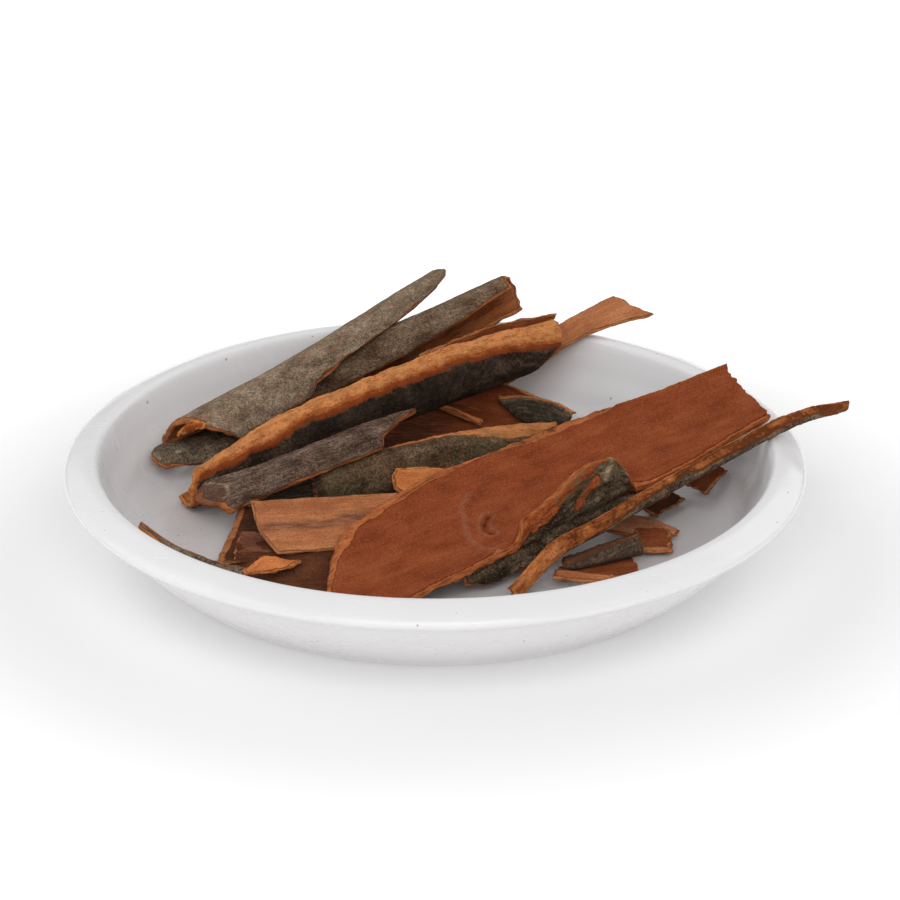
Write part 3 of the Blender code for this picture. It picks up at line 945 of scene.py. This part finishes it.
# Back of the dish: two long grey quills that lean over the rim, and a brown strip beside them.
# The quills are half-rolled, with the grey-olive outer bark on the outside of the curl.
ORANGE_INNER = ((0.42, 0.17, 0.07), (0.33, 0.115, 0.04), (0.20, 0.06, 0.02))
RIM_SKIN = ((0.20, 0.135, 0.088), (0.15, 0.094, 0.057), (0.09, 0.052, 0.030))
olive_grey = bark_material(
    "olive grey bark",
    outer=((0.30, 0.225, 0.155), (0.235, 0.165, 0.108), (0.15, 0.10, 0.064)),
    inner=ORANGE_INNER,
    torn=((0.473, 0.178, 0.066), (0.334, 0.0988, 0.0306), (0.153, 0.044, 0.0165)),
    stain_and_shade=(0.30, 0.12, 0.07),
    moss=(0.19, 0.155, 0.095),
    crust=(0.15, 0.105, 0.066),
    offset=31.0,
    mottle=0.2,
    streaks=0.12,
    specks=0.28,
)
brown_grey = bark_material(
    "brown grey bark",
    outer=RIM_SKIN,
    inner=((0.42, 0.16, 0.06), (0.33, 0.105, 0.034), (0.20, 0.055, 0.018)),
    torn=((0.447, 0.163, 0.0561), (0.317, 0.0912, 0.0272), (0.144, 0.04, 0.0135)),
    stain_and_shade=(0.26, 0.10, 0.06),
    moss=(0.14, 0.12, 0.07),
    offset=37.0,
    mottle=0.2,
    streaks=0.2,
    specks=0.28,
)
strip_brown = bark_material(
    "brown strip bark",
    outer=RIM_SKIN,
    inner=((0.45, 0.15, 0.057), (0.35, 0.10, 0.034), (0.23, 0.06, 0.02)),
    torn=((0.43, 0.163, 0.066), (0.299, 0.0912, 0.0306), (0.144, 0.04, 0.015)),
    offset=41.0,
)
LONG_QUILL_NEAR_IN = (
    [18, 27, 37.5, 39.5, 41.8, 45, 51, 57, 73, 87],
    [0.0, -1.0, -1.0, 0.2, 1.8, 1.2, -0.8, -0.9, -1.2, -0.2],
)


def tapered_sheet(t):
    """The long quill's near edge steps in halfway, and its far end is narrow."""
    body_width = 17 - 7.5 * t
    near_width = 6 - 2 * t - 3.2 * rise(t, 0.42, 0.56)
    return [(body_width / 2, 60), (body_width / 2, 60 - 20 * t), (near_width, 7 * near_width)]


bark(
    "long_grey_quill",
    spine=[(-62.5, 21.3, 20.6), (-31, 55.4, 26.5), (1.4, 88.7, 36.0)],
    sheet=tapered_sheet,
    roll=(8, 11),
    thickness=MEDIUM,
    material=olive_grey,
    start_cut=(0.0, 2.0, 11.0),
    end_cut=(0.3, 0.0, 4.0, 11.0),
    torn=(0.3, 0.25, 0.7, 0.4),
    worn=(0.5, 0.8, 0.6, 0.8),
    outline=lambda at: (
        0.0,
        np.interp(at.forward, *LONG_QUILL_NEAR_IN),
        0.0,
        np.interp(at.far, [3, 6, 7.5, 9, 11], [-1.0, -3.2, -3.0, 0.3, 2.5]),
    ),
    broken=lambda at: 0.85
    * np.maximum(
        fall(at.start + 0.8 * crags(at.far / 2, at.start, 14), 0.9, 1.6) * (at.far < 15),
        fall(at.near + 0.3 * crags(at.forward / 3, at.near, 15), 0.6, 1.2) * rise(at.forward, 40, 46),
    ),
    marks=lambda at: (
        0.7 * rise(lumpy(at, 1.6, 1.9, 8), 0.42, 0.55),
        0.6 * rise(lumpy(at, 6, 9, 9), 0.0, 0.4) * fall(at.forward, 40, 70),
        0.85 * rise(at.forward, 45, 100),
    ),
    seed=131,
)
bark(
    "rim_grey_quill",
    spine=[(-38.5, 62, 17.1), (19.4, 85, 37)],
    sheet=[
        [(12.5, 110), (9, 80), (9, 85)],
        [(11.5, 110), (8.4, 80), (8, 75)],
        [(9.6, 110), (7, 80), (3.5, 45)],
    ],
    roll=(-40, -40),
    thickness=MEDIUM,
    material=brown_grey,
    end_cut=(3.0, 1.0, 1.5, 3.0),
    outline=lambda at: (0.0, 0.0, 0.0, np.interp(at.far, [0, 8, 14, 18, 21], [-3.0, -2.5, -0.4, 0.5, -1.2])),
    torn=(0.35, 0.25, 0.5, 0.4),
    worn=(0.4, 0.5, 0.8, 0.8),
    marks=lambda at: (
        0.6 * rise(lumpy(at, 1.8, 2.2, 18), 0.45, 0.6),
        0.5 * rise(lumpy(at, 5, 8, 19), 0.1, 0.5),
        0.0,
    ),
    seed=132,
)
brown_piece(
    "brown_rim_strip",
    spine=[(-4.2, 54.6, 22.2), (14, 66, 25.4), (32, 74.3, 28.6)],
    sheet=[(12, -20), (11.5, -20), (5, -20)],
    roll=(100, 100),
    material=strip_brown,
    end_cut=(0.0, 2.0),
    torn=(0.5, 0.3, 0.8, 0.4),
    seed=133,
)

# Middle of the dish: the scraped quill, a closed roll whose top edge has lost its grey skin, and
# two thick pieces in front of it that lean on each other with their grey outer face up.
scraped = bark_material(
    "scraped quill bark",
    outer=((0.095, 0.061, 0.041), (0.05, 0.031, 0.02), (0.022, 0.013, 0.0085)),
    inner=((0.42, 0.17, 0.065), (0.33, 0.115, 0.04), (0.20, 0.06, 0.02)),
    torn=((0.57, 0.235, 0.083), (0.39, 0.12, 0.034), (0.22, 0.046, 0.011)),
    stain_and_shade=(0.016, 0.011, 0.008),
    offset=43.0,
    mottle=0.4,
    streaks=0.35,
    specks=0.36,
)
lilac_grey = bark_material(
    "lilac grey bark",
    outer=((0.155, 0.102, 0.076), (0.105, 0.064, 0.044), (0.06, 0.035, 0.023)),
    inner=((0.36, 0.14, 0.055), (0.28, 0.095, 0.034), (0.17, 0.05, 0.018)),
    torn=((0.396, 0.141, 0.0528), (0.273, 0.0836, 0.0272), (0.126, 0.036, 0.0135)),
    stain_and_shade=(0.125, 0.055, 0.035),
    crust=(0.42, 0.27, 0.19),
    offset=53.0,
    mottle=0.2,
    streaks=0.36,
    specks=0.42,
)
mossy = bark_material(
    "mossy bark",
    outer=((0.155, 0.10, 0.058), (0.105, 0.062, 0.034), (0.055, 0.031, 0.017)),
    inner=((0.30, 0.12, 0.05), (0.22, 0.08, 0.03), (0.14, 0.045, 0.017)),
    torn=((0.482, 0.192, 0.0726), (0.37, 0.125, 0.0408), (0.198, 0.06, 0.0203)),
    moss=(0.115, 0.098, 0.048),
    offset=59.0,
    mottle=0.35,
    streaks=0.15,
    specks=0.35,
)
SCRAPED_FROM_FAR = (
    [0, 2, 9, 17, 24, 28, 30, 40, 52, 61, 70, 82, 93, 106],
    [2.4, 2.6, 3.9, 5.0, 6.0, 6.0, 5.2, 5.9, 5.6, 6.0, 6.2, 6.2, 6.1, 6.5],
)
# How strongly the skin of the scraped roll is painted dark along it, as painted shade on its front and lower
# side
SCRAPED_SHADE = ([8, 26, 40, 66, 90, 112], [0.0, 0.8, 1.0, 0.9, 0.55, 0.2])
MOSSY_FROM_FAR = ([0, 18, 22, 30, 40, 47, 54, 62, 68], [0.2, 0.3, 0.9, 1.1, 1.4, 2.8, 4.0, 3.4, 1.5])


def mossy_band(at):
    """1 on the orange band along the far edge of the mossy quill."""
    border = np.interp(at.forward, *MOSSY_FROM_FAR) + 0.35 * crags(at.forward / 2.5, at.far * 0.2, 19)
    return fall(at.far - border, -0.2, 0.3)


def past_scraped(at):
    """How far each place is past the border of the band scraped off the roll's far edge."""
    border = np.interp(at.forward, *SCRAPED_FROM_FAR) + 0.5 * crags(at.forward / 3.5, at.far * 0.2, 9)
    return at.far - border


def scraped_band(at):
    """1 on the scraped band, and less towards its border."""
    past = past_scraped(at)
    return fall(past, -0.25, 0.25) * (1 - 0.5 * rise(past, -3.0, -0.1))


def scraped_relief(at):
    """The band is knobbly and stands a little proud of the skin."""
    band = fall(past_scraped(at), -0.5, 0.2)
    knobs = 0.28 * lumpy(at, 2.6, 4.5, 5) + 0.2 * lumpy(at, 0.9, 1.6, 6)
    proud = 0.25 + 0.3 * fall(np.abs(at.forward - 24), 4, 10)
    return band * (proud + knobs)


bark(
    "scraped_quill",
    spine=[(-62, 7.5, 8.2), (-15, 38, 19.8), (31.3, 65, 26.4)],
    sheet=[(15, 190), (27, 235), (29, 250), (28, 245), (22, 220)],
    roll=(125, 115),
    thickness=THICK,
    material=scraped,
    end_cut=(0.0, 0.0, 6.0, 10.0, 10.0),
    torn=(0.35, 0.3, 0.25, 0.9),
    worn=(0.6, 0.5, 1.0, 0.6),
    outline=lambda at: (
        np.interp(at.forward, [25, 38, 49, 64, 80, 95, 104, 112], [0.0, 0.3, 1.2, 1.3, 0.9, 1.2, 1.8, 2.2]),
        0.0,
        np.interp(at.far, [0.0, 1.8, 3.4], [3.2, 2.0, 0.0]),
        0.0,
    ),
    relief=scraped_relief,
    broken=lambda at: np.maximum(scraped_band(at), 0.85 * fall(at.start, 1.4, 2.0) * (at.far < 9)),
    # The skin below the scraped band is painted dark, as painted shade, most in the middle of the roll
    marks=lambda at: (
        0.75 * np.interp(at.forward, *SCRAPED_SHADE) * fall(scraped_band(at), 0.0, 0.3),
        0.0,
        0.0,
    ),
    seed=141,
)


def from_peeled(at):
    """How far forward each place is from where the skin has come off the strip's left end."""
    border = np.interp(at.far, [0, 1.5, 4, 6.5, 8, 10, 12], [-1.0, 0.7, 4.3, 4.3, 2.0, -1.5, -3.0])
    return at.forward - border - 0.5 * lumpy(at, 1.5, 2.0, 4)


bark(
    "leaning_grey_strip",
    spine=[(-54, -3, 12.3), (-29, 9.1, 18.0), (-3, 30.4, 20)],
    sheet=[(12, 45), (10, 50), (9.5, 50), (9.5, 45), (6, 30)],
    roll=(20, 20),
    thickness=THICK,
    material=lilac_grey,
    end_cut=(0.0, 6.0, 13.0, 15.5),
    outline=lambda at: (
        0.0,
        0.0,
        np.interp(at.far, [0, 1.2, 2.4, 5.3, 7.8, 9.4, 12], [0.3, -2.2, -3.4, -4.4, -2.6, -0.2, 1.6]),
        0.0,
    ),
    torn=(0.3, 0.2, 0.8, 0.5),
    worn=(0.3, 0.45, 0.35, 0.5),
    relief=lambda at: -0.3 * fall(from_peeled(at), -0.3, 0.3) * (at.side > 0),
    broken=lambda at: fall(at.start + 0.8 * crags(at.far, at.start, 6), 1.0, 1.8) * (at.far > 3.5),
    marks=lambda at: (
        0.7 * fall(from_peeled(at), -1.1, -0.5),
        0.0,
        0.9 * fall(np.abs(from_peeled(at) + 0.2), 0.2, 0.7) * (at.far < 8),
    ),
    seed=142,
)
bark(
    "green_grey_quill",
    spine=[(-31, 6, 9.5), (-0.5, 22.3, 9.8), (31, 38, 9.8)],
    sheet=[(13, 200), (20, 220), (20, 200), (12, 120)],
    roll=(105, 105),
    thickness=THICK,
    material=mossy,
    torn=(0.3, 0.3, 0.7, 0.7),
    worn=(0.6, 0.4, 0.2, 0.6),
    relief=lambda at: 0.2 * mossy_band(at) * lumpy(at, 1.5, 2.0, 5),
    broken=mossy_band,
    marks=lambda at: (
        # The left end is painted dark, as painted shade
        1.2 * fall(at.start, 1.0, 3.0),
        0.95 * rise(lumpy(at, 5, 7, 29), -0.1, 0.35)
        * np.interp(at.forward, [3, 8, 24, 32, 42, 48, 62, 68], [0.5, 1, 1, 0.25, 0.1, 1, 0.7, 0.2]),
        0.0,
    ),
    seed=143,
)

# Front of the dish: the broad slab, the thickest piece, inner face up, whose near edge is folded up
# beside an old knot; and the thin quill, a tight roll that lies across it and over the rim.
slab_brown = bark_material(
    "slab bark",
    outer=((0.17, 0.12, 0.074), (0.088, 0.058, 0.034), (0.03, 0.02, 0.012)),
    inner=((0.272, 0.069, 0.023), (0.236, 0.053, 0.0168), (0.188, 0.040, 0.0125)),
    torn=((0.44, 0.14, 0.048), (0.29, 0.07, 0.02), (0.13, 0.03, 0.009)),
    stain_and_shade=(0.05, 0.013, 0.005),
    moss=(0.11, 0.10, 0.048),
    crust=(0.40, 0.28, 0.19),
    offset=61.0,
    mottle=0.4,
    fibres=0.09,
    flecks=0.75,
    banding=0.3,
)
SLAB_SCAR = [(11.0, 55.5), (14.5, 51.0), (19.4, 48.6), (24.0, 46.2), (28.0, 44.7), (33.0, 44.3), (37.5, 46.6)]
SLAB_INNER_SCAR = [(21.0, 54.2), (23.5, 51.4), (26.0, 50.2), (28.4, 50.4)]
SLAB_FAR_IN = (
    [49, 57, 64, 73, 88, 96, 101, 112, 128, 140],
    [0.4, 0.6, 1.8, 2.6, 2.4, 2.1, 0.6, 0.9, 0.2, 0.4],
)
SLAB_BAND = (
    [10, 16, 23, 33, 36, 42, 50, 56, 62, 70, 140],
    [1.3, 1.7, 3.2, 3.2, 2.2, 3.0, 2.9, 2.2, 1.5, 0.6, 0.5],
)
SLAB_RIDGE = [(44.5, 82.5), (42, 80), (40.2, 78.6)]
SLAB_SIDE_RIDGE = [(43, 84.5), (40.6, 84)]
SLAB_PATCH = [(41.5, 76.0), (39.5, 72.0), (37.5, 70.0)]
SLAB_KNOT = (37.2, 59.5)
FLAP_FROM_FAR = 34


def slab_sheet(t):
    """The slab's near edge is folded up in a flap beside an old knot."""
    stands = rise(t, 0.34, 0.39) * fall(t, 0.58, 0.63)
    flap_width = 3 + 6.5 * rise(t, 0.39, 0.56)
    far_width = 13.5 - 8 * t - 2.5 * rise(t, 0.55, 1.0)
    near_width = 14 - 6 * t + 2.5 * rise(t, 0.6, 0.66) * fall(t, 0.7, 0.95)
    far, middle, near = (far_width, -8), (12, -10), (near_width, -6)
    fold = (2 + 2.5 * stands, -2 - 78 * stands)
    flap = (0.8 + flap_width * stands, -25 * stands)
    return [far, middle, near, fold, flap]


def slab_outline(at):
    """The far edge runs straight to a corner, and its upper plies lie back where lower ones stand out."""
    back = np.interp(at.forward, *SLAB_FAR_IN)
    lower = 0.2 + 0.6 * fall(at.forward, 56, 62) + 0.6 * rise(at.forward, 98, 101)
    upper = rise(at.side, -0.1, 0.1)
    near = np.interp(at.forward, [70, 78, 84, 89, 93], [0.0, 1.0, 1.9, 1.8, 0.0])
    start = np.interp(at.far, [0, 0.8, 1.7, 3.3, 5.3, 7.1, 9.5], [15.0, 12.8, 9.0, 5.0, 1.7, -0.7, 0.0])
    end = 0.7 * crags(at.far / 4.0, at.side * 0.3, 77)
    return back * upper + np.minimum(back, lower) * (1 - upper), near, start, end


def slab_rim(at):
    """How far each place is from the torn rim at the slab's far edge and left end."""
    slant = np.interp(at.far, [0, 6, 8, 40], [0.22, 0.26, 0.68, 0.85])
    return np.minimum(at.far, at.start * slant) + 0.35 * crags(at.forward / 2.0, at.far / 1.5, 13)


def at_corner(at):
    """1 where the far edge of the slab turns its corner."""
    return rise(at.forward, 36, 40) * fall(at.forward, 56, 62)


def slab_relief(at):
    """A raised ring and a dent at the old scar, a groove inside the rim, and folds round the knot below."""
    top = (at.side > 0) * 1.0
    scar = 0.6 * fall(from_line(at, SLAB_SCAR), 0.2, 1.8)
    scar = scar - 0.5 * fall(from_line(at, SLAB_INNER_SCAR), 0.2, 0.9)
    scar = scar + 0.4 * fall(np.abs(from_line(at, SLAB_INNER_SCAR) - 1.5), 0.1, 0.9)
    groove = -0.3 * fall(np.abs(slab_rim(at) - 1.5), 0.1, 0.5) * at_corner(at)
    flap = rise(at.far, FLAP_FROM_FAR - 1, FLAP_FROM_FAR + 2) * (1 - top)
    folds = flap * (0.75 * lumpy(at, 2.0, 7.0, 91) + 0.35 * lumpy(at, 0.8, 2.0, 93))
    knot = np.hypot(at.far - SLAB_KNOT[0], (at.forward - SLAB_KNOT[1]) * 0.8)
    folds = folds + flap * 0.3 * np.cos(knot * 3.2) * fall(knot, 1.5, 3.0)
    return top * (scar + groove) + folds


def slab_marks(at):
    """Dark in the scar, painted shade in the groove inside the rim, pale crust on the scar and on the flap's
    ridges, and moss.
    """
    top = (at.side > 0) * 1.0
    below = 1 - top
    wander = 0.3 * lumpy(at, 1, 1, 7)
    stain_and_shade = 0.95 * fall(from_line(at, SLAB_INNER_SCAR) + wander, 0.0, 0.6) * top
    # The groove inside the rim is painted dark, as painted shade
    groove_shade = fall(np.abs(slab_rim(at) - 1.6), 0.1, 0.4) * at_corner(at)
    stain_and_shade = np.maximum(stain_and_shade, 0.45 * groove_shade * top)
    scar = 0.15 * fall(np.abs(from_line(at, SLAB_SCAR) + wander), 0.3, 1.4)
    scar = np.maximum(scar, 0.14 * fall(np.abs(from_line(at, SLAB_INNER_SCAR) - 1.5), 0.2, 0.8))
    flap = rise(at.far, FLAP_FROM_FAR, FLAP_FROM_FAR + 3) * below
    ridge = fall(from_line(at, SLAB_RIDGE), 0.3, 1.1)
    ridge = np.maximum(ridge, fall(from_line(at, SLAB_SIDE_RIDGE), 0.2, 0.8))
    crust = np.maximum(flap * 0.9 * ridge, scar * top)
    moss = flap * 0.55 * rise(lumpy(at, 3, 5, 39), -0.1, 0.3) * rise(at.far, 38, 40)
    return stain_and_shade, moss, crust


def slab_broken(at):
    """The torn rim, a broad worn rim on top of the flap, and an orange patch on it."""
    band = 1.1 * fall(slab_rim(at) - np.interp(at.forward, *SLAB_BAND), -0.5, 0.1) * (at.side > 0)
    below = (at.side < 0) * 1.0
    patch = from_line(at, SLAB_PATCH) + 0.5 * lumpy(at, 1, 2, 17)
    past_rim = at.near + 0.9 * lumpy(at, 1, 3, 31) - np.interp(at.forward, [50, 62, 80], [4.2, 3.2, 0.8])
    rim = fall(past_rim, 0.0, 0.8) * rise(at.forward, 44, 50)
    return np.maximum(band, 0.85 * below * np.maximum(fall(patch, 0.9, 1.5), rim))


brown_piece(
    "broad_slab",
    spine=[(-34.3, -44.3, 6.3), (23.3, -5, 16.9), (80.9, 34, 28.6)],
    sheet=slab_sheet,
    roll=(9.5, 7.6),
    thickness=VERY_THICK,
    material=slab_brown,
    spacing=0.4,
    start_cut=(36, 22, 14, 8, 4, 1.5, 0.5, 0.2, 0.0),
    end_cut=(1.2, 4, 7, 9, 9),
    outline=slab_outline,
    torn=(0.3, 0.25, 0.4, 0.9),
    worn=(0.6, 0.55, 1.8, 0.4),
    plies=0.25,
    ridges=0.07,
    relief=slab_relief,
    broken=slab_broken,
    marks=slab_marks,
    seed=151,
)
thin_roll = bark_material(
    "thin quill bark",
    outer=((0.20, 0.135, 0.09), (0.13, 0.085, 0.055), (0.06, 0.038, 0.024)),
    inner=ORANGE_INNER,
    torn=((0.46, 0.17, 0.058), (0.30, 0.09, 0.026), (0.13, 0.036, 0.011)),
    stain_and_shade=(0.03, 0.02, 0.014),
    offset=47.0,
    mottle=0.4,
    streaks=0.4,
)


def thin_quill_broken(at):
    """The far edge of the thin roll has lost its skin, in a band that is widest at the left end."""
    border = np.interp(at.forward, [18, 34, 52], [3.2, 1.5, 0.0])
    past = at.far + 0.7 * lumpy(at, 2, 4, 3) - border
    depth = np.interp(at.forward, [0, 22, 40, 74], [0.95, 0.9, 0.72, 0.75])
    return (depth + 0.3 * lumpy(at, 1, 3, 8)) * fall(past, 1.2, 2.4)


bark(
    "thin_quill",
    spine=[
        (20, -40, 6.2),
        (28.7, -32.5, 12.3),
        (39, -27, 15.9),
        (51.5, -15.8, 18.6),
        (64.5, -4.5, 20.9),
        (87, 7.5, 28.1),
        (102.6, 15.3, 29.3),
    ],
    sheet=[(6, 190), (6.5, 200), (6.5, 200), (6.2, 200), (6, 200), (4.8, 200), (3.2, 150)],
    roll=(110, 110),
    material=thin_roll,
    spacing=0.28,
    torn=(0.2, 0.2, 0.8, 0.4),
    outline=lambda at: (0.0, 0.0, -2.5, 0.0),
    ridges=0.22,
    broken=thin_quill_broken,
    # All but the orange far edge is painted darker, partly its own dark skin and partly painted shade on the
    # roll's lower side
    marks=lambda at: (0.7 * rise(at.far, 3.4, 4.6), 0.0, 0.0),
    slot="tan_bark",
    seed=152,
)

# Scraps, thin bark that belongs to larger pieces or lies hidden beside them: the long quill's rolled lip
# and the torn flake under it, outer bark that hangs below the slab's fold and runs on under its near edge
# as a dark filler for painted shade, a splint behind the small curl, and a dark flake under the scraped
# roll, which is a dark sheet put there as painted shade. No solid stands for them.
bark(
    "rolled_lip_of_long_quill",
    spine=[(-68.6, 28.0, 13.3), (-62.4, 34.4, 14.6), (-50, 47.2, 17.4)],
    sheet=[(5.0, 95), (4.5, 80), (2.5, 60)],
    roll=(-105, -105),
    thickness=MEDIUM,
    material=olive_grey,
    spacing=0.3,
    torn=(0.2, 0.2, 0.4, 0.3),
    worn=(0.6, 0.3, 1.2, 0.3),
    scrap=True,
    seed=161,
)
bark(
    "torn_flake_of_long_quill",
    spine=[(-65, 24.0, 17.4), (-61.5, 21.6, 20.3), (-58, 19.8, 21.9)],
    sheet=[(1.0, 30), (3.0, 60), (1.2, 40)],
    roll=(75, 60),
    material=scraped,
    spacing=0.2,
    torn=(1.2, 1.2, 1.0, 1.2),
    relief=lambda at: 0.4 * lumpy(at, 1.2, 1.5, 44),
    broken=lambda at: 0.75 - 0.25 * rise(at.far, 0.5, 2.5),
    scrap=True,
    seed=162,
)
bark(
    "outer_bark_and_shade_below_fold",
    # Below the flap it is real outer bark, and its left part runs on under the slab's near edge as a dark
    # filler, as painted shade on the floor there
    spine=[
        (7, -38.6, 7.4),
        (14, -34.6, 8.6),
        (20, -30.2, 10.2),
        (26, -26.2, 10.8),
        (32, -21.8, 12.2),
        (38, -17.5, 13.4),
        (44, -13.4, 14.6),
        (50, -11.2, 15.6),
        (57, -7.6, 16.8),
    ],
    sheet=[(3, 30), (5.5, 30), (6.5, 40), (6.5, 40), (6.5, 40), (6.5, 40), (6, 40), (5, 30), (2, 20)],
    roll=(68, 72),
    thickness=MEDIUM,
    material=slab_brown,
    spacing=0.4,
    torn=(0.4, 1.0, 0.6, 0.6),
    worn=(0.2, 0.3, 0.3, 0.3),
    ridges=0.25,
    relief=lambda at: 0.35 * lumpy(at, 1.6, 6.0, 55),
    scrap=True,
    seed=163,
)
bark(
    "splint_behind_curl",
    spine=[(2, 65.6, 13.4), (10, 63.4, 12.7), (18.5, 60.2, 11.5), (28.2, 56.8, 9.0)],
    sheet=[[(3.0, -8), (4.0, -8), (2.5, -8)], [(2.0, -8), (4.0, -8), (2.0, -8)]],
    roll=(62, 68),
    material=floor_brown,
    spacing=0.3,
    inner_up=True,
    scrap=True,
    seed=165,
)
bark(
    "shade_flake_below_roll",
    spine=[(-43.5, 6.5, 6.0), (-36, 11, 6.3), (-28.5, 15.5, 6.6)],
    sheet=[(15, 20), (15, 20)],
    roll=(5, 5),
    material=dark_brown,
    spacing=0.4,
    torn=(0.8, 0.8, 0.8, 0.8),
    # The whole flake is painted dark: it is a dark sheet put there as painted shade
    marks=lambda at: (1.0, 0.0, 0.0),
    scrap=True,
    seed=164,
)
